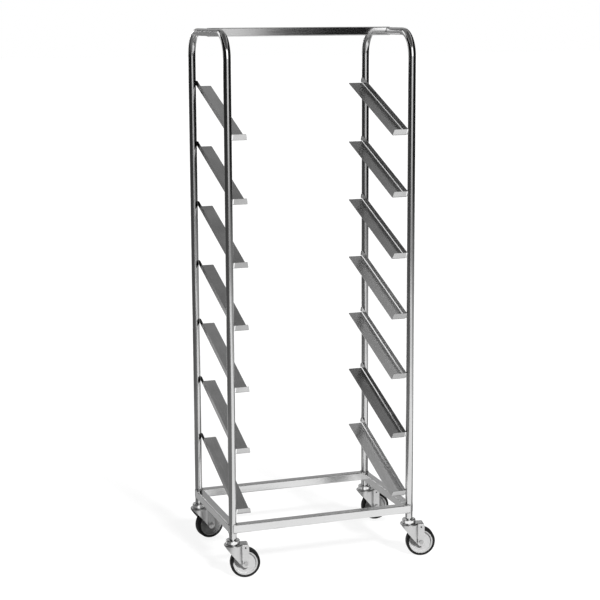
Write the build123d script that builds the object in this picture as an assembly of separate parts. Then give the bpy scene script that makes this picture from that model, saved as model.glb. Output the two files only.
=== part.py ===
from build123d import *
import math
import os

# Box trolley: a welded steel rack with sloping rail pairs for boxes, on four swivel castors.
# Millimetres. +Z is up, the boxes are loaded from the front, which is -Y, and +X is to the right.
# The origin is on the floor, midway between the four uprights.

# Overall sizes
frame_width = 633.0  # between the centre lines of the left and right uprights
frame_depth = 414.0  # between the centre lines of the front and rear uprights
overall_height = 1800.0  # floor to the top of the side frames

# Round tube of the side frames
tube_diameter = 25.0
tube_wall = 1.5
tube_bend_radius = 80.0  # at the centre line
weld_gap = 0.1  # left between coped ends and the tubes they are welded to

# Square tube of the base and the top tie
bar_wall = 1.5
bar_corner_radius = 3.0
bar_top_height = 182.0

# Folded sheet rails
rail_levels = 7
rail_top_gap = 195.0  # from the top of the frame down to the rear end of the highest bearing face
rail_base_gap = 187.0  # from the top of the base up to the rear end of the lowest bearing face
rail_slope = 21.0  # degrees, down to the front
rail_width = 52.0
rail_sheet = 1.5
rail_fold_radius = 3.0  # inside the folds
rail_side_height = 22.5
rail_stop_height = 22.5
rail_stop_taper = 4.0  # the stop is this much narrower at its top
rail_corner_radius = 3.0
rail_rear_setback = 4.0  # from the rear uprights' centre line
rail_front_setback = 4.0  # from the front uprights' centre line

# Castor: swivel head and stem
castor_height = 131.0  # floor to the end of the upright's tube
stem_length = 60.0
stem_clearance = 0.1
stem_lead = 3.0
head_diameter = 46.0
head_height = 14.0
head_shoulder_radius = 4.0
head_skirt_wall = 2.5
head_race_height = 4.0  # from the edge of the skirt up to the race
kingpin_diameter = 12.0
kingpin_head_diameter = 24.0
kingpin_head_thickness = 4.0
running_clearance = 0.05  # radial, between parts that turn on each other
swivel_gap = 0.5  # between faces that pass each other as the castor swivels
ball_diameter = 5.0
ball_count = 10
ball_circle_diameter = 33.0
ball_groove_clearance = 0.1

# Castor: fork
trail = 40.0  # from the swivel axis to the axle
crown_diameter = 66.0
crown_setback = 3.0  # from the swivel axis back to the centre of the round crown
fork_sheet = 2.5
fork_bend_radius = 2.5  # inside the bends of the crown
fork_crease_radius = 3.0
fork_skirt_height = 3.5  # of the crown's edge, at its leading end
leg_gap = 36.0  # between the inner faces of the legs
leg_width = 23.0  # of the flat band that holds the axle
leg_foot_drop = 3.0  # from the axle down to the centre of the round foot
leg_corner_radius = 8.0  # at the trailing end of the crown, seen from the side
leg_hole_diameter = 6.0
leg_hole_drop = 12.5  # below the top of the crown

# Castor: which way each one trails, in degrees from +X towards +Y, as they stand in the photograph
castor_headings = {"front_left": -9.0, "front_right": -13.0, "rear_left": 10.0, "rear_right": -4.0}

# Castor: wheel and axle
wheel_diameter = 100.0
tyre_width = 30.0
tyre_depth = 9.0
tyre_shoulder_radius = 5.0
rim_width = 28.0
rim_depth = 5.5
disc_width = 18.0
hub_diameter = 26.0
hub_width = 35.0
mould_chamfer = 1.0  # on the moulded wheel's edges and in its corners
sleeve_diameter = 12.0
axle_diameter = 8.0
axle_clearance = 0.1
hexagon_width = 13.0  # across the flats of the bolt's head and its nut
bolt_head_thickness = 5.3
nut_thickness = 6.5
thread_end = 2.0  # of the bolt, beyond the nut

# Places worked out from the sizes above
tube_radius = tube_diameter / 2
half_width = frame_width / 2
half_depth = frame_depth / 2
top_run_height = overall_height - tube_radius
cope_radius = tube_radius + weld_gap
bar_size = tube_diameter + 2 * bar_wall  # so that a square tube's walls straddle the round one
fold_outside = rail_fold_radius + rail_sheet
rail_angle = math.radians(rail_slope)
rail_length = (frame_depth - rail_rear_setback - rail_front_setback) / math.cos(rail_angle)
rail_top_height = overall_height - rail_top_gap
rail_pitch = (rail_top_height - rail_base_gap - bar_top_height) / (rail_levels - 1)
crown_top = castor_height - head_height - swivel_gap
axle_height = wheel_diameter / 2
leg_outside = leg_gap / 2 + fork_sheet
rim_radius = wheel_diameter / 2 - tyre_depth
head_bottom = castor_height - head_height


def save(node, shape):
    export_step(shape, f"parts/{node}.step")


def side_frame():
    """Inverted U of bent round tube: front upright, top run and rear upright."""
    path = FilletPolyline(
        (0, -half_depth, castor_height),
        (0, -half_depth, top_run_height),
        (0, half_depth, top_run_height),
        (0, half_depth, castor_height),
        radius=tube_bend_radius,
    )
    start = Plane(path @ 0, z_dir=path % 0)
    section = start * (Circle(tube_radius) - Circle(tube_radius - tube_wall))
    return sweep(section, path=path)


def square_tube(length):
    """Square tube along +X, its end at the origin."""
    inside = bar_size - 2 * bar_wall
    section = RectangleRounded(bar_size, bar_size, bar_corner_radius)
    section -= RectangleRounded(inside, inside, bar_corner_radius - bar_wall)
    return extrude(Plane.YZ * section, amount=length)


def top_tie_tube():
    """Square tube between the two top runs, its ends coped so that they straddle them."""
    tube = square_tube(frame_width)
    top_run = Rot(90, 0, 0) * Cylinder(cope_radius, bar_size)
    for end in (0, frame_width):
        tube -= Pos(end, 0, 0) * top_run
    return Pos(-half_width, 0, top_run_height) * tube


def base_bar(length):
    """Square tube between two uprights: coped to straddle both, and mitred to its neighbours on its inner
    side. It runs along +X from the first upright's axis, and the inside of the base is at +Y."""
    bar = square_tube(length)
    upright = Cylinder(cope_radius, bar_size)
    for end, inward in ((0, 1), (length, -1)):
        bar -= Pos(end, 0, 0) * upright
        mitre = make_face(Polyline((0, 0), (inward * bar_size, bar_size), (0, bar_size), close=True))
        bar -= Pos(end, 0, 0) * extrude(mitre, amount=bar_size / 2, both=True)
    return bar


def folded_section(flat, upright):
    """Section of a sheet folded once: a flat run along +X under Y = 0, and an upright at X = 0."""
    top = upright - rail_sheet
    section = make_face(
        Polyline(
            (flat, -rail_sheet),
            (0, -rail_sheet),
            (0, top),
            (rail_sheet, top),
            (rail_sheet, 0),
            (flat, 0),
            close=True,
        )
    )
    outside = section.vertices().sort_by_distance((0, -rail_sheet))[0]
    section = fillet(outside, fold_outside)
    inside = section.vertices().sort_by_distance((rail_sheet, 0))[0]
    return fillet(inside, rail_fold_radius)


def rail():
    """Sheet rail with a low side flange and a stop folded up at its front end.
    X is 0 on its outer face and points inwards, Y is 0 at its rear end and -Y is the front,
    and Z is 0 on the face that bears the box."""
    channel_section = Plane.XZ * folded_section(rail_width, rail_side_height)
    channel = extrude(channel_section, amount=rail_length - fold_outside)
    front = Plane((0, -rail_length, 0), x_dir=(0, 1, 0), z_dir=(1, 0, 0))
    stop_section = front * Pos(0, 0, fold_outside) * folded_section(2 * fold_outside, rail_stop_height)
    stop = extrude(stop_section, amount=rail_width - fold_outside)

    # The stop's outer corner closes on the side flange above the folds, which leaves a relief hole below it.
    side_top = rail_side_height - rail_sheet
    stop_top = rail_stop_height - rail_sheet
    corner_align = (Align.MIN, Align.MIN, Align.MIN)
    flange_end = Pos(0, -rail_length, rail_fold_radius) * Box(
        rail_sheet, fold_outside, side_top - rail_fold_radius, align=corner_align
    )
    stop_corner = Pos(0, -rail_length, rail_fold_radius) * Box(
        fold_outside, rail_sheet, stop_top - rail_fold_radius, align=corner_align
    )
    taper = Polyline(
        (rail_width, rail_fold_radius),
        (rail_width - rail_stop_taper, stop_top),
        (rail_width, stop_top),
        close=True,
    )
    taper_cut = extrude(Plane.XZ * make_face(taper), amount=2 * fold_outside)
    piece = channel + stop + flange_end + stop_corner - Pos(0, fold_outside - rail_length, 0) * taper_cut

    rear_corner = piece.edges().filter_by(Axis.Z).sort_by_distance((rail_width, 0, 0))[0]
    flange_corner = piece.edges().filter_by(Axis.X).sort_by_distance((0, 0, side_top))[0]
    tip_place = (rail_width - rail_stop_taper, -rail_length, stop_top)
    stop_tip = piece.edges().filter_by(Axis.Y).sort_by_distance(tip_place)[0]
    return fillet([rear_corner, flange_corner, stop_tip], rail_corner_radius)


def castor_stem():
    """Plug that fills the upright's end, with the kingpin under it, riveted over below the fork's crown."""
    plug_radius = tube_radius - tube_wall - stem_clearance
    pin_radius = kingpin_diameter / 2
    rivet_radius = kingpin_head_diameter / 2
    rivet_top = crown_top - fork_sheet - swivel_gap
    rivet_bottom = rivet_top - kingpin_head_thickness
    top = castor_height + stem_length
    outline = Polyline(
        (0, rivet_bottom),
        (rivet_radius - kingpin_head_thickness / 2, rivet_bottom),
        (rivet_radius, rivet_bottom + kingpin_head_thickness / 2),
        (rivet_radius, rivet_top),
        (pin_radius, rivet_top),
        (pin_radius, castor_height),
        (plug_radius, castor_height),
        (plug_radius, top - stem_lead),
        (plug_radius - stem_lead, top),
        (0, top),
        close=True,
    )
    return revolve(Plane.XZ * make_face(outline), axis=Axis.Z)


def castor_head():
    """Cap with the upper ball race inside it, held on the kingpin under the upright."""
    bore = kingpin_diameter / 2 + running_clearance
    radius = head_diameter / 2
    race = head_bottom + head_race_height
    outline = Polyline(
        (bore, race),
        (radius - head_skirt_wall, race),
        (radius - head_skirt_wall, head_bottom),
        (radius, head_bottom),
        (radius, castor_height),
        (bore, castor_height),
        close=True,
    )
    section = make_face(outline)
    shoulder = section.vertices().sort_by_distance((radius, castor_height))[0]
    section = fillet(shoulder, head_shoulder_radius)
    return revolve(Plane.XZ * section, axis=Axis.Z)


def ball_centre_height():
    race = head_bottom + head_race_height
    return race - swivel_gap / 2 - ball_diameter / 2


def castor_balls():
    """Ring of balls that runs between the crown's groove and the head's race."""
    places = PolarLocations(ball_circle_diameter / 2, ball_count)
    balls = [Pos(0, 0, ball_centre_height()) * place * Sphere(ball_diameter / 2) for place in places]
    return Compound(children=balls)


def fork_block(inset, tail, top, bend):
    """The fork's plan as a block: a round crown that two parallel legs come out of. The creases between
    them are rounded and the top edges are bent over, but not the tail's."""
    radius = crown_diameter / 2 - inset
    half = leg_outside - inset
    neck = crown_setback + math.sqrt(radius**2 - half**2)
    crown = ThreePointArc((neck, half), (crown_setback - radius, 0), (neck, -half))
    legs = Polyline((neck, -half), (tail, -half), (tail, half), (neck, half))
    block = extrude(make_face([crown, legs]), amount=top)
    creases = block.edges().filter_by(Axis.Z).sort_by(Axis.X)[:2]
    block = fillet(creases, fork_crease_radius + inset)
    rim = block.edges().group_by(Axis.Z)[-1].sort_by(Axis.X)[:-1]
    return fillet(rim, bend)


def fork_side():
    """Side view of the fork: crown, upright trailing edge, round foot under the axle, sloping front."""
    foot = leg_width / 2
    nose = Vector(crown_setback - crown_diameter / 2, crown_top - fork_skirt_height)
    centre = Vector(trail, axle_height - leg_foot_drop)
    reach = centre - nose
    angle = math.atan2(reach.Y, reach.X) - math.asin(foot / reach.length) - math.pi / 2
    touch = centre + Vector(foot * math.cos(angle), foot * math.sin(angle))
    heel = centre + Vector(foot, 0)
    middle = angle / 2
    bottom = centre + Vector(foot * math.cos(middle), foot * math.sin(middle))
    tail_corner = Vector(heel.X, crown_top)
    outline = [
        Polyline(touch, nose, (nose.X, crown_top), tail_corner, heel),
        ThreePointArc(heel, bottom, touch),
    ]
    side = make_face(outline)
    return fillet(side.vertices().sort_by_distance(tail_corner)[0], leg_corner_radius)


def castor_fork():
    """Pressed steel fork: a hollow crown and two legs, cut to the side view."""
    tail = trail + leg_width / 2
    outer = fork_block(0, tail, crown_top, fork_bend_radius + fork_sheet)
    inner = fork_block(fork_sheet, tail + leg_width, crown_top - fork_sheet, fork_bend_radius)
    fork = outer - inner
    fork &= extrude(Plane.XZ * fork_side(), amount=crown_diameter, both=True)
    fork -= Pos(0, 0, crown_top) * Cylinder(kingpin_diameter / 2 + running_clearance, castor_height)
    groove = Torus(ball_circle_diameter / 2, ball_diameter / 2 + ball_groove_clearance)
    fork -= Pos(0, 0, ball_centre_height()) * groove
    for height, diameter in (
        (axle_height, axle_diameter + 2 * axle_clearance),
        (crown_top - leg_hole_drop, leg_hole_diameter),
    ):
        fork -= Pos(trail, 0, height) * Rot(90, 0, 0) * Cylinder(diameter / 2, crown_diameter)
    return fork


def on_axle(shape):
    """Moves a piece made about the Z axis on to the axle, with its +Z side at the front."""
    return Pos(trail, 0, axle_height) * Rot(90, 0, 0) * shape


def wheel_centre():
    """Moulded wheel: hub, disc, and the rim that carries the tyre and stands out past the disc."""
    bore = sleeve_diameter / 2 + running_clearance
    rim_inside = rim_radius - rim_depth
    half = [
        (bore, hub_width / 2),
        (hub_diameter / 2, hub_width / 2),
        (hub_diameter / 2, disc_width / 2),
        (rim_inside, disc_width / 2),
        (rim_inside, rim_width / 2),
        (rim_radius, rim_width / 2),
    ]
    other_half = [(radius, -height) for radius, height in reversed(half)]
    section = make_face(Polyline(*half, *other_half, close=True))
    moulded = section.vertices().filter_by_position(Axis.X, hub_diameter / 2, rim_inside)
    section = chamfer(moulded, mould_chamfer)
    return on_axle(revolve(Plane.XZ * section, axis=Axis.Z))


def tyre():
    """Rubber ring on the rim, with round shoulders."""
    inside = rim_radius + running_clearance
    section = Pos((inside + wheel_diameter / 2) / 2, 0) * Rectangle(wheel_diameter / 2 - inside, tyre_width)
    shoulders = section.vertices().group_by(Axis.X)[-1]
    section = fillet(shoulders, tyre_shoulder_radius)
    return on_axle(revolve(Plane.XZ * section, axis=Axis.Z))


def axle_sleeve():
    """Steel tube that the wheel turns on, held between the legs by the bolt."""
    ring = Circle(sleeve_diameter / 2) - Circle(axle_diameter / 2 + axle_clearance)
    return on_axle(extrude(ring, amount=leg_gap / 2, both=True))


def hexagon():
    return RegularPolygon(hexagon_width / 2, 6, major_radius=False)


def axle_bolt():
    """Bolt through both legs, its head at the front."""
    shank_end = leg_outside + nut_thickness + thread_end
    length = leg_outside + shank_end
    shank = Pos(0, 0, -shank_end) * extrude(Circle(axle_diameter / 2), amount=length)
    return on_axle(shank + Pos(0, 0, leg_outside) * extrude(hexagon(), amount=bolt_head_thickness))


def axle_nut():
    """Nut on the bolt's rear end."""
    section = hexagon() - Circle(axle_diameter / 2 + axle_clearance)
    return on_axle(Pos(0, 0, -leg_outside - nut_thickness) * extrude(section, amount=nut_thickness))


os.makedirs("parts", exist_ok=True)

# Side frames and top tie
frame = side_frame()
save("left_side_frame", Pos(-half_width, 0, 0) * frame)
save("right_side_frame", Pos(half_width, 0, 0) * frame)
save("top_tie_tube", top_tie_tube())

# Base bars, each from its first upright and turned a quarter from the one before
bar_middle = bar_top_height - bar_size / 2
save("base_front_bar", Pos(-half_width, -half_depth, bar_middle) * base_bar(frame_width))
save("base_right_bar", Pos(half_width, -half_depth, bar_middle) * Rot(0, 0, 90) * base_bar(frame_depth))
save("base_rear_bar", Pos(half_width, half_depth, bar_middle) * Rot(0, 0, 180) * base_bar(frame_width))
save("base_left_bar", Pos(-half_width, half_depth, bar_middle) * Rot(0, 0, 270) * base_bar(frame_depth))

# Rails, numbered from the top
rail_rear = (cope_radius - half_width, half_depth - rail_rear_setback, rail_top_height)
rail_normal = (0, -math.sin(rail_angle), math.cos(rail_angle))
left_rail = Plane(rail_rear, x_dir=(1, 0, 0), z_dir=rail_normal) * rail()
right_rail = mirror(left_rail, about=Plane.YZ)
for level in range(rail_levels):
    drop = Pos(0, 0, -level * rail_pitch)
    save(f"rail_left_{level + 1}", drop * left_rail)
    save(f"rail_right_{level + 1}", drop * right_rail)

# Castors
castor_pieces = {
    "stem": castor_stem(),
    "head": castor_head(),
    "balls": castor_balls(),
    "fork": castor_fork(),
    "axle_sleeve": axle_sleeve(),
    "axle_bolt": axle_bolt(),
    "axle_nut": axle_nut(),
    "wheel": wheel_centre(),
    "tyre": tyre(),
}
corners = {
    "front_left": (-half_width, -half_depth),
    "front_right": (half_width, -half_depth),
    "rear_left": (-half_width, half_depth),
    "rear_right": (half_width, half_depth),
}
for corner, (x, y) in corners.items():
    place = Pos(x, y, 0) * Rot(0, 0, castor_headings[corner])
    for piece, shape in castor_pieces.items():
        save(f"{corner}_castor_{piece}", place * shape)
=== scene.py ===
# %% [markdown]
# # A box trolley in polished steel
# The object is a tall open rack on four castors: two side frames of bent tube, a square base, and seven
# pairs of sloping rails that boxes slide down on. The solid pieces arrive already modelled and named, so
# the lesson dresses them: a camera, a plain studio, the finish of each metal, the plastic and the rubber,
# and the weld beads, which are too fine for the solids.

# %% Load the assembly
import math

import bmesh
import bpy
from mathutils import Matrix, Vector


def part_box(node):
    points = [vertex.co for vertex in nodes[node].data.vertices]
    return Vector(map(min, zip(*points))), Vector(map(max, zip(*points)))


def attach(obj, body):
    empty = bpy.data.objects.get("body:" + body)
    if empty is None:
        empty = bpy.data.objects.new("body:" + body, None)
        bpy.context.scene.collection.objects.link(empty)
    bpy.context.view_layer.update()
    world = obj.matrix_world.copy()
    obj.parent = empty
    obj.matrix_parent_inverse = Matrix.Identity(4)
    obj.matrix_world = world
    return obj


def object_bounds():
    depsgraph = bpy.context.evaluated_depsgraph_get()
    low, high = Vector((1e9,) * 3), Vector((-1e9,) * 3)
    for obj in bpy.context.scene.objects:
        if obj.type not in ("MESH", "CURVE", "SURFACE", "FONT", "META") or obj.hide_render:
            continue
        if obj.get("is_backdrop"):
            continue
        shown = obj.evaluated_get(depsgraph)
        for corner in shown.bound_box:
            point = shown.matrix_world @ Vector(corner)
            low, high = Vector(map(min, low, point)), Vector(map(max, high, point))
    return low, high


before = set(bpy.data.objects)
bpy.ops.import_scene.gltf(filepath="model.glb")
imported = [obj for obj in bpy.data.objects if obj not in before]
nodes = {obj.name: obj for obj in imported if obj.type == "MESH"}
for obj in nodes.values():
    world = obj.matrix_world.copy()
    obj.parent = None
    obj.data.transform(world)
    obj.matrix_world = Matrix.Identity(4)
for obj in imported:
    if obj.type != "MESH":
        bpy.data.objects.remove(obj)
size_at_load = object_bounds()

print("pieces:", len(nodes), "size in metres:", [round(b - a, 3) for a, b in zip(*size_at_load)])

# %% [markdown]
# ## Camera
# The picture was taken from a little left of the front and from just above the top of the rack. A camera
# could be turned by eye until it looks right. Here its place comes from a fit to the ends of the uprights,
# the rails and the wheels, so the script builds its three directions from one yaw, one pitch and a trace
# of roll, and sets them as the columns of its matrix. A long lens keeps the uprights almost parallel.

# %% Directions of the camera
yaw = math.radians(19.266)
pitch = math.radians(9.554)
roll = math.radians(-0.273)
straight_up = Vector((0.0, 0.0, 1.0))
flat_ahead = Vector((math.sin(yaw), math.cos(yaw), 0.0))
level_right = Vector((math.cos(yaw), -math.sin(yaw), 0.0))
ahead = math.cos(pitch) * flat_ahead - math.sin(pitch) * straight_up
level_up = level_right.cross(ahead)
right = math.cos(roll) * level_right + math.sin(roll) * level_up
up = math.cos(roll) * level_up - math.sin(roll) * level_right
print("the camera looks along", [round(v, 3) for v in ahead])

# %% Place the camera
stand_off = 5.2626
sideways = -0.0037
eye_height = 1.8489
lens = bpy.data.cameras.new("photo_lens")
lens.lens = 93.82
lens.shift_y = -0.04
camera = bpy.data.objects.new("photo_camera", lens)
camera_place = sideways * level_right - stand_off * flat_ahead + eye_height * straight_up
camera_turn = Matrix((right, up, -ahead)).transposed().to_4x4()
camera.matrix_world = Matrix.Translation(camera_place) @ camera_turn
bpy.context.collection.objects.link(camera)
bpy.context.scene.camera = camera
bpy.context.scene.view_settings.view_transform = "Standard"
print("camera at", [round(v, 3) for v in camera.location], "lens", lens.lens)

# %% [markdown]
# ## One helper for every node
# Each finish below is a small tree of shader nodes. They could be added by hand in the shader editor; one
# function that adds a node, sets its options and inputs and links what feeds it keeps each tree short.
# Colours are written as the hex values seen on a screen, and a second function turns them to the linear
# values that the renderer works in. A Mix node keeps sockets for every kind of value that it can mix, so
# the places of its two colours, their result and its two plain values get names. Its factor is socket 0.

# %% Helpers for shader trees
colour_a, colour_b, colour_out = 6, 7, 2
value_a, value_b = 2, 3


def add_node(tree, kind, settings=None, links=None):
    """Adds a node, sets its options and inputs by name, and links sockets into it."""
    node = tree.nodes.new(kind)
    for name, value in (settings or {}).items():
        if isinstance(name, str) and hasattr(node, name):
            setattr(node, name, value)
        else:
            node.inputs[name].default_value = value
    for name, socket in (links or {}).items():
        tree.links.new(socket, node.inputs[name])
    return node


def to_linear(hex_colour):
    """Turns an sRGB hex colour into linear red, green, blue and an opaque alpha."""
    parts = [int(hex_colour[i : i + 2], 16) / 255 for i in (1, 3, 5)]
    return [c / 12.92 if c <= 0.04045 else ((c + 0.055) / 1.055) ** 2.4 for c in parts] + [1.0]


def empty_material(name):
    """A material without any nodes yet, and its tree."""
    material = bpy.data.materials.new(name)
    material.use_nodes = True
    material.node_tree.nodes.clear()
    return material, material.node_tree


print("mid grey in linear light:", round(to_linear("#808080")[0], 3))

# %% [markdown]
# ## Studio
# Polished metal has almost no colour of its own: it shows the room. The room here is white for the camera
# and for mirror rays. For the rays that light a matt face it is much dimmer, so that the lamps further on
# can shape the castors. One world with two strengths does both, and Light Path tells the rays apart.


# %% White surround
def seen_directly(tree):
    """1 for camera, mirror and see-through rays, and 0 for the rays that light a surface."""
    path = add_node(tree, "ShaderNodeLightPath")
    either = {"operation": "MAXIMUM"}
    camera_or_mirror = {0: path.outputs["Is Camera Ray"], 1: path.outputs["Is Glossy Ray"]}
    seen = add_node(tree, "ShaderNodeMath", either, camera_or_mirror)
    or_through = {0: seen.outputs[0], 1: path.outputs["Is Transmission Ray"]}
    return add_node(tree, "ShaderNodeMath", either, or_through).outputs[0]


surround_light = 0.08
world = bpy.data.worlds.new("white_surround")
bpy.context.scene.world = world
world.use_nodes = True
tree = world.node_tree
tree.nodes.clear()
dim = add_node(tree, "ShaderNodeBackground", {"Color": to_linear("#ffffff"), "Strength": surround_light})
white = add_node(tree, "ShaderNodeBackground", {"Color": to_linear("#ffffff"), "Strength": 1.0})
by_kind_of_ray = {0: seen_directly(tree), 1: dim.outputs[0], 2: white.outputs[0]}
surround = add_node(tree, "ShaderNodeMixShader", links=by_kind_of_ray)
add_node(tree, "ShaderNodeOutputWorld", links={0: surround.outputs[0]})
print("the white surround lights matt faces at", surround_light)

# %% [markdown]
# ## Floor
# The rack stands on white paper. Lit by the lamps alone, the paper would come out grey. So it is a matt
# sheet that also glows for the rays that see it directly: it looks white, and its matt part still takes
# the soft shadow of the rack. The sheet is one square of a grid, stretched in its mesh by a matrix.

# %% White paper floor
paper_glow = 0.86
floor_reach = 60.0


def stage_plane(name, matrix, material):
    """A flat sheet, two units wide before its matrix, that belongs to the studio and not to the trolley."""
    bm = bmesh.new()
    bmesh.ops.create_grid(bm, x_segments=1, y_segments=1, size=1.0, matrix=matrix)
    mesh = bpy.data.meshes.new(name)
    bm.to_mesh(mesh)
    bm.free()
    mesh.materials.append(material)
    sheet = bpy.data.objects.new(name, mesh)
    bpy.context.collection.objects.link(sheet)
    sheet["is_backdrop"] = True
    return sheet


floor_material, tree = empty_material("matt_white_paper")
matt = add_node(tree, "ShaderNodeBsdfDiffuse", {"Color": to_linear("#808080")})
level = add_node(tree, "ShaderNodeMath", {"operation": "MULTIPLY", 1: paper_glow}, {0: seen_directly(tree)})
bright = {"Color": to_linear("#ffffff")}
glow = add_node(tree, "ShaderNodeEmission", bright, {"Strength": level.outputs[0]})
paper = add_node(tree, "ShaderNodeAddShader", links={0: matt.outputs[0], 1: glow.outputs[0]})
add_node(tree, "ShaderNodeOutputMaterial", links={0: paper.outputs[0]})
floor = stage_plane("studio_floor", Matrix.Diagonal((floor_reach, floor_reach, 1.0, 1.0)), floor_material)
print("floor spans", [round(v, 1) for v in floor.dimensions])

# %% [markdown]
# ## Cards
# In a wholly white room a polished tube would look like white plastic. A product photographer stands dark
# cards round the metal, out of the picture, so that every tube gets dark sides and one bright line. These
# cards do the same. A tall one can change in tone from the floor up, as a card in a real room does. Only
# mirror rays see a card, so it takes no light from the steel and throws no shadow.

# %% A card that only reflections see
to_left, to_right = (-1.0, 0.0, 0.0), (1.0, 0.0, 0.0)
to_front, to_back = (0.0, -1.0, 0.0), (0.0, 1.0, 0.0)
to_floor, to_ceiling = (0.0, 0.0, -1.0), (0.0, 0.0, 1.0)
tone_starts = 0.2


def card(name, tone, centre, facing, size, top_tone=None, full_at=1.7, strength=1.0):
    """A sheet at a place, facing a direction. From tone_starts to full_at, in metres up, it turns from its
    tone to its top tone."""
    material, tree = empty_material(name + "_felt")
    place = add_node(tree, "ShaderNodeTexCoord")
    axes = add_node(tree, "ShaderNodeSeparateXYZ", links={0: place.outputs["Object"]})
    heights = {"From Min": tone_starts, "From Max": full_at}
    rise = add_node(tree, "ShaderNodeMapRange", heights, {"Value": axes.outputs["Z"]})
    tones = {"data_type": "RGBA", colour_a: to_linear(tone), colour_b: to_linear(top_tone or tone)}
    shade = add_node(tree, "ShaderNodeMix", tones, {0: rise.outputs[0]})
    lit = {"Color": shade.outputs[colour_out]}
    felt = add_node(tree, "ShaderNodeEmission", {"Strength": strength}, lit)
    add_node(tree, "ShaderNodeOutputMaterial", links={0: felt.outputs[0]})
    turn = Vector(facing).to_track_quat("Z", "Y").to_matrix().to_4x4()
    width, height = size
    stretch = Matrix.Diagonal((width / 2, height / 2, 1.0, 1.0))
    sheet = stage_plane(name, Matrix.Translation(centre) @ turn @ stretch, material)
    sheet.visible_camera = False
    sheet.visible_diffuse = False
    sheet.visible_transmission = False
    sheet.visible_shadow = False
    return sheet


print("a card turns to its top tone from", tone_starts, "m up")

# %% [markdown]
# ## Cards at the sides
# The left and right sides of every tube mirror what stands beside the rack. Both side cards are nearly
# black above and paler below, so the tubes darken towards the top. Low down the tubes mirror the floor, so
# grey mats lie there. The paler mat, behind on the left, shows in the side flanges of the lower rails.

# %% Side cards and their mats
left_and_back = (-0.994, 0.108, 0.0)
side_cards = [
    card("left_card", "#646464", (-2.4, -0.2, 2.1), to_right, (9.2, 4.2), "#1e1e1e", full_at=1.6),
    card("left_mat", "#808080", (-1.48, -0.2, 0.004), to_ceiling, (1.84, 8.0)),
    card("left_pale_mat", "#c4c4c4", (-0.97, 2.3, 0.006), to_ceiling, (0.74, 2.3)),
    card("right_card", "#c0c0c0", (2.3, -0.4, 2.5), left_and_back, (9.2, 5.0), "#1c1c1c", full_at=1.0),
    card("right_mat", "#808080", (1.5, 1.15, 0.005), to_ceiling, (1.7, 3.3)),
]
print("side cards:", [sheet.name for sheet in side_cards])

# %% [markdown]
# ## Cards in front and behind
# The fronts of the tubes and the tie mirror the front card, which is white above and grey below, and the
# narrow darker card at its right. The flat tops of the bars and the side flanges of the rails mirror what
# stands behind the rack, so it gets four greys, and each of them can be set by itself.

# %% Front and back cards
front_and_back_cards = [
    card("front_card", "#989898", (-0.41, -5.0, 1.62), to_back, (3.8, 3.0), "#ffffff"),
    card("front_right_card", "#808080", (1.655, -5.0, 1.62), to_back, (0.33, 3.0), "#484848"),
    card("back_card", "#8c8c8c", (0.55, 4.4, 2.2), to_front, (2.7, 4.4), "#a4a4a4"),
    card("back_right_card", "#a0a0a0", (2.1, 4.35, 1.65), to_front, (1.4, 1.3)),
    card("back_left_card", "#909090", (-1.6, 4.4, 0.95), to_front, (1.6, 1.9)),
    card("back_left_high", "#787878", (-1.6, 4.4, 3.17), to_front, (1.6, 2.54)),
]
print("front and back cards:", [sheet.name for sheet in front_and_back_cards])

# %% [markdown]
# ## Cards overhead
# A rail slopes down to the front, so its wide face mirrors the ceiling behind the rack. A high rail shows
# the far cards and a low rail the near ones; the left rails show the middle ones and the right rails those
# on the right. The two on the left show in the folds of the right rails, and the two in front in the bends
# of the tubes, so every one of these places gets a tone of its own.

# %% Ceiling cards
ceiling = 4.6
ceiling_cards = [
    card("ceiling_near_left", "#808080", (-1.55, 1.85, ceiling), to_floor, (1.9, 1.7)),
    card("ceiling_far_left", "#303030", (-1.55, 4.05, ceiling), to_floor, (1.9, 2.7)),
    card("ceiling_near_middle", "#868686", (0.5, 1.87, ceiling), to_floor, (2.2, 1.74)),
    card("ceiling_far_middle", "#a8a8a8", (0.5, 4.07, ceiling), to_floor, (2.2, 2.66)),
    card("ceiling_near_right", "#b0b0b0", (2.65, 1.85, ceiling), to_floor, (2.1, 1.7)),
    card("ceiling_far_right", "#747474", (2.65, 4.05, ceiling), to_floor, (2.1, 2.7)),
    card("ceiling_front", "#585858", (-0.6, -1.5, ceiling), to_floor, (3.9, 5.0)),
    card("ceiling_front_right", "#c8c8c8", (2.1, -1.5, ceiling), to_floor, (1.5, 5.0)),
]
print("ceiling cards:", [sheet.name for sheet in ceiling_cards])

# %% [markdown]
# ## Mats and small cards near the floor
# The castors, the lowest rails and the ends of the tubes mirror the floor close by, which would be all
# white. A pale mat lies under the back of the rack and behind it, a small grey one in front of the rear
# left castor, and a low grey card stands at the right of each front castor, where its fork mirrors it.

# %% Mats and cards for the castors
low_cards = [
    card("floor_mat", "#b4b4b4", (0.3, 0.925, 0.003), to_ceiling, (2.6, 1.65)),
    card("rear_castor_mat", "#808080", (-0.13, -0.06, 0.004), to_ceiling, (0.45, 0.28)),
    card("left_flag", "#808080", (-0.12, -0.23, 0.033), to_left, (0.2, 0.065)),
    card("right_flag", "#808080", (0.52, -0.23, 0.033), to_left, (0.2, 0.065)),
]
print("mats and low cards:", [sheet.name for sheet in low_cards])

# %% [markdown]
# ## Lamps
# The surround alone would light the castors alike all over. A sun lamp from the front and above gives them
# their shading and puts the fork's shadow on the wheel, and a wide, weaker one from behind keeps their far
# sides from going black. In the polished tubes a lamp would show as a hard white spot, so mirror rays see
# neither of them.


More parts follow.
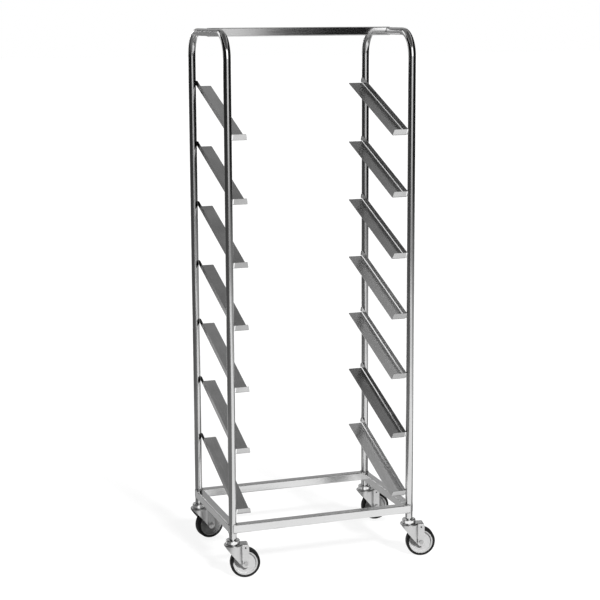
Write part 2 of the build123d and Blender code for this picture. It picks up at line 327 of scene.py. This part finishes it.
# %% Key light and fill
def sun(name, energy, angle, comes_from):
    """A wide sun lamp that lights matt surfaces, and that polished ones do not mirror."""
    light = bpy.data.lights.new(name, "SUN")
    light.energy = energy
    light.angle = math.radians(angle)
    lamp = bpy.data.objects.new(name, light)
    lamp.rotation_euler = Vector(comes_from).to_track_quat("Z", "Y").to_euler()
    lamp.visible_glossy = False
    bpy.context.collection.objects.link(lamp)
    return lamp


lamps = [
    sun("soft_key", energy=3.7, angle=10, comes_from=(0.12, -0.75, 0.62)),
    sun("back_fill", energy=1.8, angle=30, comes_from=(-0.5, 0.8, 0.5)),
]
print("lamps:", [(lamp.name, round(lamp.data.energy, 1)) for lamp in lamps])

# %% [markdown]
# ## Bright panels
# A folded sheet shows a thin white line in its fold, a square tube one along its rounded corner, and a bent
# tube a white patch on its bend. Each needs something brighter than the room to mirror. Three panels stand
# where those places mirror them: one for the rails' folds, one for the side bars' corners and one for the
# bends at the top.

# %% Panels for folds, corners and bends
down_to_rails = (0.6, -0.8, -0.25)
panels = [
    card("fold_panel", "#ffffff", (-2.1, 2.9, 2.5), down_to_rails, (1.3, 2.0), strength=1.4),
    card("corner_panel", "#ffffff", (-0.85, 4.3, 2.07), to_front, (0.7, 0.54), strength=5.0),
    card("bend_panel", "#ffffff", (-0.3, -4.9, 3.2), to_back, (2.6, 2.6), strength=2.5),
]
print("panels:", [sheet.name for sheet in panels])

# %% [markdown]
# ## Shade for the rear castors
# The rear castors stand under the far side of the base and are darker than the front ones. Dimmer lamps
# would darken all four. Instead a small black flag in front of each rear castor stops the key light, and a
# dark mat under the base, which only matt faces see, keeps the floor from lighting them from below.

# %% Flags and a mat that keep light off
castor_flags = [
    card("left_castor_flag", "#000000", (-0.262, -0.05, 0.267), to_front, (0.136, 0.16)),
    card("right_castor_flag", "#000000", (0.358, -0.05, 0.267), to_front, (0.136, 0.16)),
]
for flag in castor_flags:
    flag.visible_glossy = False
    flag.visible_shadow = True
dark_mat = card("rear_dark_mat", "#303030", (0.02, 0.18, 0.005), to_ceiling, (1.2, 0.5))
dark_mat.visible_glossy = False
dark_mat.visible_diffuse = True
print("shade from:", [sheet.name for sheet in castor_flags + [dark_mat]])

# %% [markdown]
# ## Steel tubes and bars
# The tubes and bars are mild steel with a polished face, which mirrors the cards a little softly. Belt
# polishing leaves fine lines along each piece, and the eye reads them as streaks of slightly different
# gloss. A picture of scratches could be mapped on; a noise stretched along the piece needs no map and stays
# sharp. The real lines are under 0.2 mm wide, too fine to show here, so they are drawn a few millimetres
# wide. A broader cloud, 90 mm across, keeps long pieces from looking even.

# %% A steel with polishing lines
steel_cloud_mm = 90
line_share = 0.5
line_strength = 0.3
noise_low, noise_high = 0.3, 0.7


def steel(name, dark, light, smooth, rough, line_mm, relief_mm, tilt=0.0):
    """Polished or satin steel. smooth and rough are the ends of its roughness, line_mm is the size of its
    polishing lines along X, Y and Z, and tilt leans them with a rail."""
    material, tree = empty_material(name)
    place = add_node(tree, "ShaderNodeTexCoord")
    line_size = [mm / 1000 for mm in line_mm]
    stretch = {"vector_type": "TEXTURE", "Rotation": (tilt, 0.0, 0.0), "Scale": line_size}
    lines = add_node(tree, "ShaderNodeMapping", stretch, {"Vector": place.outputs["Object"]})
    fine = {"Scale": 1.0, "Detail": 3.0, "Roughness": 0.6}
    grain = add_node(tree, "ShaderNodeTexNoise", fine, {"Vector": lines.outputs[0]})
    broad = {"Scale": 1000 / steel_cloud_mm, "Detail": 2.0}
    cloud = add_node(tree, "ShaderNodeTexNoise", broad, {"Vector": place.outputs["Object"]})
    patterns = {value_a: cloud.outputs[0], value_b: grain.outputs[0]}
    tone = add_node(tree, "ShaderNodeMix", {0: line_share}, patterns)
    tones = {"data_type": "RGBA", colour_a: to_linear(dark), colour_b: to_linear(light)}
    colour = add_node(tree, "ShaderNodeMix", tones, {0: tone.outputs[0]})
    streaks = {"From Min": noise_low, "From Max": noise_high, "To Min": smooth, "To Max": rough}
    gloss = add_node(tree, "ShaderNodeMapRange", streaks, {"Value": grain.outputs[0]})
    depth = {"Strength": line_strength, "Distance": relief_mm / 1000}
    relief = add_node(tree, "ShaderNodeBump", depth, {"Height": grain.outputs[0]})
    look = {
        "Base Color": colour.outputs[colour_out],
        "Roughness": gloss.outputs[0],
        "Normal": relief.outputs[0],
    }
    face = add_node(tree, "ShaderNodeBsdfPrincipled", {"Metallic": 1.0}, look)
    add_node(tree, "ShaderNodeOutputMaterial", links={0: face.outputs[0]})
    return material


print("polished pieces are cloudy over", steel_cloud_mm, "mm")

# %% Steel of the tubes, the tie and the bars
lines_up, lines_across, lines_back = (2.5, 2.5, 120), (120, 2.5, 2.5), (2.5, 120, 2.5)
upright_steel = steel("polished_steel_tube", "#c3c3c3", "#dddddd", 0.1, 0.15, lines_up, relief_mm=0.01)
tie_steel = steel("polished_steel_tie", "#bababa", "#d4d4d4", 0.1, 0.14, lines_across, relief_mm=0.01)
bar_tones = ("#d1d1d1", "#e1e1e1")
cross_bar_steel = steel("polished_steel_cross_bar", *bar_tones, 0.16, 0.24, lines_across, relief_mm=0.02)
side_bar_steel = steel("polished_steel_side_bar", *bar_tones, 0.16, 0.24, lines_back, relief_mm=0.02)
tube_steels = (upright_steel, tie_steel, cross_bar_steel, side_bar_steel)
print("steels:", [finish.name for finish in tube_steels])

# %% [markdown]
# ## Marks on the rails
# The rails are satin sheet, folded in a press and welded at both ends. The fold gets a near-white colour,
# a painted highlight, and a lower roughness, so that it mirrors the fold panel as a bright line. The outer
# face of the side flange is darkened near its rear end, a painted dark reflection of the upright beside it.
# On the pale rails the front stop is a little darker. Such marks could be painted on a map; here each is
# found from its place on the rail, measured from the solid, so it follows if a size changes.

# %% Add the marks to a rail's steel
rail_low = Vector(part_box("rail_left_1")[0])
flange_face = abs(rail_low.x)
fold_inset, fold_half_width, fold_roughness = 0.003, 0.0014, 0.08
# The first tone below is a painted highlight for the fold, and the second a painted dark reflection of the
# rear upright.
fold_highlight_tone, upright_reflection_tone = "#fafafa", "#404040"
stop_depth = 0.011
stop_end = rail_low.y + stop_depth
outer_skin = 0.0004
reflection_reach, reflection_fade = 0.04, 0.008
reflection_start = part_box("left_side_frame")[1][1] - reflection_reach


def mark_rail(material, stop_shade):
    """Adds a painted highlight in the fold, a darker stop and a painted dark reflection near the rear
    upright to a rail's steel.
    """
    tree = material.node_tree
    face = tree.nodes["Principled BSDF"]
    colour = face.inputs["Base Color"].links[0].from_socket
    gloss = face.inputs["Roughness"].links[0].from_socket
    place = add_node(tree, "ShaderNodeTexCoord")
    axes = add_node(tree, "ShaderNodeSeparateXYZ", links={0: place.outputs["Object"]})
    across = add_node(tree, "ShaderNodeMath", {"operation": "ABSOLUTE"}, {0: axes.outputs["X"]}).outputs[0]
    fold_band = {"operation": "COMPARE", 1: flange_face - fold_inset, 2: fold_half_width}
    in_fold = add_node(tree, "ShaderNodeMath", fold_band, {0: across}).outputs[0]
    # The fold's colour is raised to near white, a painted highlight, and its roughness is lowered.
    painted_fold_highlight = {"data_type": "RGBA", colour_b: to_linear(fold_highlight_tone)}
    colour = add_node(tree, "ShaderNodeMix", painted_fold_highlight, {0: in_fold, colour_a: colour}).outputs[colour_out]
    sharper = {value_b: fold_roughness}
    gloss = add_node(tree, "ShaderNodeMix", sharper, {0: in_fold, value_a: gloss}).outputs[0]
    before_stop_end = {"operation": "LESS_THAN", 1: stop_end}
    on_stop = add_node(tree, "ShaderNodeMath", before_stop_end, {0: axes.outputs["Y"]}).outputs[0]
    past_skin = {"operation": "GREATER_THAN", 1: flange_face - outer_skin}
    on_flange = add_node(tree, "ShaderNodeMath", past_skin, {0: across}).outputs[0]
    # Near the rear upright the flange's outer face is darkened, a painted dark reflection of the upright.
    fade = {"From Min": reflection_start - reflection_fade, "From Max": reflection_start}
    near_rear_upright = add_node(tree, "ShaderNodeMapRange", fade, {"Value": axes.outputs["Y"]}).outputs[0]
    both = {"operation": "MULTIPLY"}
    painted_upright_reflection = add_node(tree, "ShaderNodeMath", both, {0: on_flange, 1: near_rear_upright}).outputs[0]
    for amount, shade in ((on_stop, stop_shade), (painted_upright_reflection, upright_reflection_tone)):
        darker = {"data_type": "RGBA", "blend_type": "MULTIPLY", colour_b: to_linear(shade)}
        colour = add_node(tree, "ShaderNodeMix", darker, {0: amount, colour_a: colour}).outputs[colour_out]
    tree.links.new(colour, face.inputs["Base Color"])
    tree.links.new(gloss, face.inputs["Roughness"])


print("the fold lies", round(1000 * (flange_face - fold_inset), 1), "mm from the middle of the trolley")

# %% [markdown]
# ## Steel rails
# Some rails are paler or duller than the rest, and on the pale ones the front stop is a little darker. The
# tone of every rail could be set on its own; four kinds of satin steel are enough. Their polishing lines
# lean with the rails, and are drawn coarser than the real ones, as on the tubes.

# %% Four kinds of rail steel
rail_tilt = math.radians(21.0)
rail_lines = (3.0, 60, 3.0)
rail_tones = {
    "satin": ("#989898", "#e2e2e2", "#ffffff"),
    "dull": ("#808080", "#cccccc", "#ffffff"),
    "pale": ("#cccccc", "#fafafa", "#c4c4c4"),
    "palest": ("#e0e0e0", "#ffffff", "#c4c4c4"),
}
rail_steels = {}
for kind, (dark, light, stop_shade) in rail_tones.items():
    finish = steel(kind + "_steel_rail", dark, light, 0.2, 0.26, rail_lines, relief_mm=0.02, tilt=rail_tilt)
    mark_rail(finish, stop_shade)
    rail_steels[kind] = finish
print("rail steels:", [finish.name for finish in rail_steels.values()])

# %% [markdown]
# ## Zinc, turned steel and bearing steel
# The castors' heads, forks and bolts are pressed and turned steel under zinc plate, bright on the heads and
# bolts and satin on the forks. The stems and sleeves are plain turned steel and the balls are polished. The
# eye sees each as a metal made of cells that differ a little in tone and gloss. The real cells are far
# finer than this picture can show, so they are drawn about 2 mm across. One function makes all of them,
# because they differ only in tone, gloss and the size of the cells.


# %% A plated or turned metal with small cells
def plated(name, dark, light, smooth, rough, cell_mm):
    """Plated metal whose crystals differ a little in tone and gloss."""
    material, tree = empty_material(name)
    place = add_node(tree, "ShaderNodeTexCoord")
    crystals = {"Scale": 1000 / cell_mm}
    cells = add_node(tree, "ShaderNodeTexVoronoi", crystals, {"Vector": place.outputs["Object"]})
    tone = add_node(tree, "ShaderNodeSeparateColor", links={0: cells.outputs["Color"]})
    tones = {"data_type": "RGBA", colour_a: to_linear(dark), colour_b: to_linear(light)}
    colour = add_node(tree, "ShaderNodeMix", tones, {0: tone.outputs[0]})
    ends = {"To Min": smooth, "To Max": rough}
    gloss = add_node(tree, "ShaderNodeMapRange", ends, {"Value": tone.outputs[1]})
    look = {"Base Color": colour.outputs[colour_out], "Roughness": gloss.outputs[0]}
    face = add_node(tree, "ShaderNodeBsdfPrincipled", {"Metallic": 1.0}, look)
    add_node(tree, "ShaderNodeOutputMaterial", links={0: face.outputs[0]})
    return material


head_zinc = plated("bright_zinc_head", "#e8e8e8", "#f0f0f0", 0.12, 0.16, cell_mm=2.0)
fork_zinc = plated("satin_zinc_pressing", "#c6c6c6", "#cecece", 0.28, 0.34, cell_mm=2.0)
bolt_zinc = plated("bright_zinc_bolt", "#aaaaaa", "#b4b4b4", 0.12, 0.18, cell_mm=2.0)
pin_steel = plated("turned_steel_pin", "#909090", "#aaaaaa", 0.25, 0.4, cell_mm=2.0)
ball_steel = plated("polished_bearing_ball", "#d0d0d0", "#e0e0e0", 0.06, 0.12, cell_mm=1.5)
castor_metals = (head_zinc, fork_zinc, bolt_zinc, pin_steel, ball_steel)
print("castor metals:", [finish.name for finish in castor_metals])

# %% [markdown]
# ## Plastic wheel and rubber tyre
# The wheel centres are moulded polypropylene in light grey and the tyres are dark rubber. Both scatter
# light and have a soft gloss, which is weaker on the rubber. A cloudy tone and a fine grain from the mould
# keep either from looking like one flat colour. The real grain is a few tenths of a millimetre, too fine to
# show here, so it is drawn 1.5 mm wide.

# %% A moulded plastic or rubber
mould_cloud_mm = 25
mould_grain_mm = 1.5
grain_strength = 0.4


def moulded(name, dark, light, smooth, rough, relief_mm, shine):
    """Plastic or rubber with a cloudy tone and a fine grain."""
    material, tree = empty_material(name)
    place = add_node(tree, "ShaderNodeTexCoord")
    broad = {"Scale": 1000 / mould_cloud_mm, "Detail": 4.0}
    cloud = add_node(tree, "ShaderNodeTexNoise", broad, {"Vector": place.outputs["Object"]})
    fine = {"Scale": 1000 / mould_grain_mm, "Detail": 2.0}
    grain = add_node(tree, "ShaderNodeTexNoise", fine, {"Vector": place.outputs["Object"]})
    tones = {"data_type": "RGBA", colour_a: to_linear(dark), colour_b: to_linear(light)}
    colour = add_node(tree, "ShaderNodeMix", tones, {0: cloud.outputs[0]})
    ends = {"To Min": smooth, "To Max": rough}
    gloss = add_node(tree, "ShaderNodeMapRange", ends, {"Value": grain.outputs[0]})
    depth = {"Strength": grain_strength, "Distance": relief_mm / 1000}
    relief = add_node(tree, "ShaderNodeBump", depth, {"Height": grain.outputs[0]})
    look = {
        "Base Color": colour.outputs[colour_out],
        "Roughness": gloss.outputs[0],
        "Normal": relief.outputs[0],
    }
    face = add_node(tree, "ShaderNodeBsdfPrincipled", {"Specular IOR Level": shine}, look)
    add_node(tree, "ShaderNodeOutputMaterial", links={0: face.outputs[0]})
    return material


wheel_plastic = moulded(
    "moulded_polypropylene_wheel", "#c6c6c6", "#d2d2d2", 0.38, 0.5, relief_mm=0.05, shine=0.5
)
tyre_rubber = moulded("moulded_rubber_tyre", "#161616", "#202020", 0.5, 0.65, relief_mm=0.1, shine=0.2)
print("mouldings:", wheel_plastic.name, tyre_rubber.name)

# %% [markdown]
# ## Dress every piece
# Each solid is named for its place and its job, so its finish follows from the end of its name. A rule for
# each kind is easier to read than a list of fifty-seven pieces, and a piece that no rule reaches stops the
# script instead of staying bare. The rails that are paler or duller than the rest are named one by one.

# %% Which finish goes where
finish_by_ending = {
    "side_frame": upright_steel,
    "tie_tube": tie_steel,
    "front_bar": cross_bar_steel,
    "rear_bar": cross_bar_steel,
    "left_bar": side_bar_steel,
    "right_bar": side_bar_steel,
    "castor_stem": pin_steel,
    "castor_head": head_zinc,
    "castor_balls": ball_steel,
    "castor_fork": fork_zinc,
    "axle_sleeve": pin_steel,
    "axle_bolt": bolt_zinc,
    "axle_nut": bolt_zinc,
    "castor_wheel": wheel_plastic,
    "castor_tyre": tyre_rubber,
}
rail_kinds = {
    "rail_left_2": "dull",
    "rail_left_3": "dull",
    "rail_left_4": "dull",
    "rail_right_4": "pale",
    "rail_right_5": "pale",
    "rail_right_6": "dull",
    "rail_right_7": "palest",
}
print("rules for", len(finish_by_ending), "kinds of piece and", len(rail_kinds), "single rails")

# %% [markdown]
# ## Flat faces beside round edges
# Smooth shading alone bends the light on a flat face that ends in a rounded edge, and a mirror finish shows
# that at once. More faces would help a little; a Weighted Normal modifier is simpler, because it lets the
# large flat faces decide the shading. So each piece gets that modifier along with its finish.

# %% Give each piece its finish
dressed = {}
for name, piece in nodes.items():
    kinds = [finish for ending, finish in finish_by_ending.items() if name.endswith(ending)]
    finish = rail_steels[rail_kinds.get(name, "satin")] if name.startswith("rail_") else kinds[0]
    piece.data.materials.clear()
    piece.data.materials.append(finish)
    weighted = piece.modifiers.new("flat_faces", "WEIGHTED_NORMAL")
    weighted.keep_sharp = True
    dressed[finish.name] = dressed.get(finish.name, 0) + 1
print("dressed:", dressed)

# %% [markdown]
# ## Weld beads
# Every joint of the frame is a short fillet weld: a row of overlapping ripples where the filler metal set.
# A bead could be a bevelled curve, but its ripples would need a texture. Here a small ring is extruded step
# by step along the joint and swells and shrinks at each ripple, so the ripples are real.

# %% Extrude a rippled bead along a path
ring_sides = 8
ripple_pitch = 0.0022
steps_per_ripple = 3
fewest_steps = 6
ripple_depth = 0.14
end_size, taper_rate = 0.35, 6
look_ahead = 0.01


def ring_edges(ring):
    """The edges that join the vertices of a ring to each other."""
    return list({edge for vert in ring for edge in vert.link_edges if edge.other_vert(vert) in ring})


def weld_bead(bm, point_at, length, radius):
    """Adds one bead to a mesh. point_at takes 0 to 1 along the joint, and the ends taper off."""
    steps = max(fewest_steps, int(steps_per_ripple * length / ripple_pitch))
    ring = bmesh.ops.create_circle(bm, cap_ends=True, segments=ring_sides, radius=1.0)["verts"]
    before = Matrix.Identity(4)
    for step in range(steps + 1):
        along = step / steps
        heading = point_at(min(1.0, along + look_ahead)) - point_at(max(0.0, along - look_ahead))
        taper = min(1.0, end_size + taper_rate * along, end_size + taper_rate * (1 - along))
        ripple = 1 - ripple_depth + ripple_depth * abs(math.sin(math.pi * step / steps_per_ripple))
        turn = heading.to_track_quat("Z", "Y").to_matrix().to_4x4()
        here = Matrix.Translation(point_at(along)) @ turn @ Matrix.Scale(radius * taper * ripple, 4)
        if step:
            made = bmesh.ops.extrude_edge_only(bm, edges=ring_edges(ring))["geom"]
            ring = [part for part in made if isinstance(part, bmesh.types.BMVert)]
        bmesh.ops.transform(bm, matrix=here @ before.inverted(), verts=ring)
        before = here
    bmesh.ops.contextual_create(bm, geom=ring_edges(ring))


print("one ripple every", round(ripple_pitch * 1000, 1), "mm")

# %% [markdown]
# ## From mesh to piece
# The beads of one kind of joint share one mesh, because they never come apart. Its doubles are merged and
# its faces turned outwards, and it then rides on the frame. Set weld metal is bright but rougher than the
# polished tube, and its small crystals are like those of plating, so the same function makes its finish.
# The beads at the rear ends of the left rails are painted dark, a painted dark reflection of the upright
# beside them.

# %% Finish a mesh and its weld metal
merge_distance = 1e-6


def finished_piece(bm, name, body, material):
    """Merges and turns a mesh outwards, smooths it and makes it a piece that rides on a body."""
    bmesh.ops.remove_doubles(bm, verts=bm.verts, dist=merge_distance)
    bmesh.ops.recalc_face_normals(bm, faces=bm.faces)
    mesh = bpy.data.meshes.new(name)
    bm.to_mesh(mesh)
    bm.free()
    mesh.shade_smooth()
    mesh.materials.append(material)
    piece = bpy.data.objects.new(name, mesh)
    bpy.context.collection.objects.link(piece)
    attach(piece, body)
    return piece


weld_steel = plated("bright_weld_bead", "#c5c5c5", "#e3e3e3", 0.38, 0.52, cell_mm=2.5)
# Dark weld metal for the rear beads of the left rails: a painted dark reflection of the upright.
painted_dark_weld = plated("scaled_weld_bead", "#303030", "#404040", 0.5, 0.6, cell_mm=2.5)
print("weld metal:", weld_steel.name, painted_dark_weld.name)

# %% [markdown]
# ## Welds of the base
# The square bars are coped round the uprights, so each joint has a curved seam on the top and the bottom
# and a straight one down each outer side. Their places could be typed in; they are measured from the boxes
# of the solids, so they follow if a size changes.

# %% Places on a seam round an upright
frame_low, frame_high = (Vector(v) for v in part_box("left_side_frame"))
tube_radius = (frame_high.x - frame_low.x) / 2
upright_x = abs(frame_low.x + tube_radius)
upright_y = frame_high.y - tube_radius
bar_low, bar_high = (Vector(v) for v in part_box("base_front_bar"))
bar_depth = bar_high.z - bar_low.z


def seam(side_x, side_y, angle, height, gap):
    """A place on an upright. Angle 0 points to the cross bar, and a quarter turn to the side bar."""
    reach = tube_radius + gap
    x = side_x * (upright_x - reach * math.cos(angle))
    y = side_y * (upright_y - reach * math.sin(angle))
    return Vector((x, y, height))


print("uprights stand", round(2000 * upright_x), "by", round(2000 * upright_y), "mm apart")

# %% Beads round the four uprights
curve_gap, curve_rise, curve_bead = 0.0010, 0.0008, 0.0024
side_gap, side_turn, side_bead = 0.0003, 0.1, 0.0016
seam_start, seam_end = -math.pi / 2, math.pi
seam_turn = seam_end - seam_start

bm = bmesh.new()
for side_x in (-1, 1):
    for side_y in (-1, 1):
        for height in (bar_high.z + curve_rise, bar_low.z - curve_rise):
            weld_bead(
                bm,
                lambda t: seam(side_x, side_y, seam_start + seam_turn * t, height, curve_gap),
                seam_turn * tube_radius,
                curve_bead,
            )
        for angle in (seam_start - side_turn, seam_end + side_turn):
            weld_bead(
                bm,
                lambda t: seam(side_x, side_y, angle, bar_low.z + bar_depth * t, side_gap),
                bar_depth,
                side_bead,
            )
base_welds = finished_piece(bm, "base_weld_beads", "frame", weld_steel)
print("base welds:", len(base_welds.data.polygons), "faces")

# %% [markdown]
# ## Welds of the top tie
# The tie is a square tube a little larger than the round top runs, so its four walls straddle them. A bead
# follows the curved seam on the tie's front and back walls, and a thin one lies along the end of its top
# and bottom walls, low enough to stay within the height of the tie.

# %% Places on the seams of the tie
tie_low, tie_high = (Vector(v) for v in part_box("top_tie_tube"))
tie_height = (tie_low.z + tie_high.z) / 2
tie_width = tie_high.y - tie_low.y
saddle_gap, saddle_stand, saddle_bead = 0.001, 0.0004, 0.0018
wall_gap, wall_stand, wall_bead = 0.0005, 0.0002, 0.0012


def saddle(side_x, face_y, t):
    """A place on the curve where the front or back wall of the tie meets a top run."""
    angle = math.pi * (t - 0.5)
    reach = upright_x - (tube_radius + saddle_gap) * math.cos(angle)
    return Vector((side_x * reach, face_y, tie_height + tube_radius * math.sin(angle)))


def wall_end(side_x, level, t):
    """A place along the end of the tie's top or bottom wall."""
    height = tie_height + level * (tube_radius + wall_stand)
    return Vector((side_x * (upright_x + wall_gap), tie_low.y + tie_width * t, height))


print("the tie is", round(1000 * tie_width, 1), "mm wide at", round(1000 * tie_height), "mm up")

# %% Beads of the two tie joints
bm = bmesh.new()
for side_x in (-1, 1):
    for face_y in (tie_low.y - saddle_stand, tie_high.y + saddle_stand):
        weld_bead(bm, lambda t: saddle(side_x, face_y, t), math.pi * tube_radius, saddle_bead)
    for level in (-1, 1):
        weld_bead(bm, lambda t: wall_end(side_x, level, t), tie_width, wall_bead)
tie_welds = finished_piece(bm, "tie_weld_beads", "frame", weld_steel)
print("tie welds:", len(tie_welds.data.polygons), "faces")

# %% [markdown]
# ## Welds of the rails
# Each rail's side flange touches its two uprights, and a bead down the flange's end fixes it there. The
# beads lean with the rail, square to its slope. They could all be one piece; those at the rear ends of the
# left rails are painted dark, a painted dark reflection of the upright, so they are a piece of their own.

# %% Beads at both ends of every rail
flange_height = 0.0205
foot_gap, top_gap = 0.002, 0.001
bead_run = flange_height - foot_gap - top_gap
rear_bead, front_bead = 0.004, 0.0034
lean = Vector((0.0, -math.sin(rail_tilt), math.cos(rail_tilt)))
down_rail = Vector((0.0, -math.cos(rail_tilt), -math.sin(rail_tilt)))

# The rear beads of the left rails go into a mesh of their own, which gets the painted dark weld metal.
dark_bead_bm = bmesh.new()
bm = bmesh.new()
for name in [n for n in nodes if n.startswith("rail_")]:
    low, high = (Vector(v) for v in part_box(name))
    on_left = "left" in name
    rear_bm = dark_bead_bm if on_left else bm
    rear_top = Vector((low.x if on_left else high.x, high.y, high.z))
    run = (high.y - low.y - flange_height * math.sin(rail_tilt)) / math.cos(rail_tilt)
    for along, radius, bead_bm in ((0.0, rear_bead, rear_bm), (run, front_bead, bm)):
        foot = rear_top + down_rail * along - lean * (flange_height - foot_gap)
        weld_bead(bead_bm, lambda t: foot + lean * (bead_run * t), flange_height, radius)
rail_welds = finished_piece(bm, "rail_weld_beads", "frame", weld_steel)
painted_dark_welds = finished_piece(dark_bead_bm, "left_rail_rear_weld_beads", "frame", painted_dark_weld)
print("rail welds:", [(piece.name, len(piece.data.polygons)) for piece in (rail_welds, painted_dark_welds)])

# %% [markdown]
# ## Finish
# The dressed trolley must not be larger than its solids, so the change in each of its bounds is printed.

# %% Compare sizes and finish
size_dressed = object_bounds()
growth = [round(1000 * (b - a), 3) for c, d in zip(size_at_load, size_dressed) for a, b in zip(c, d)]
print("size change in mm:", growth)
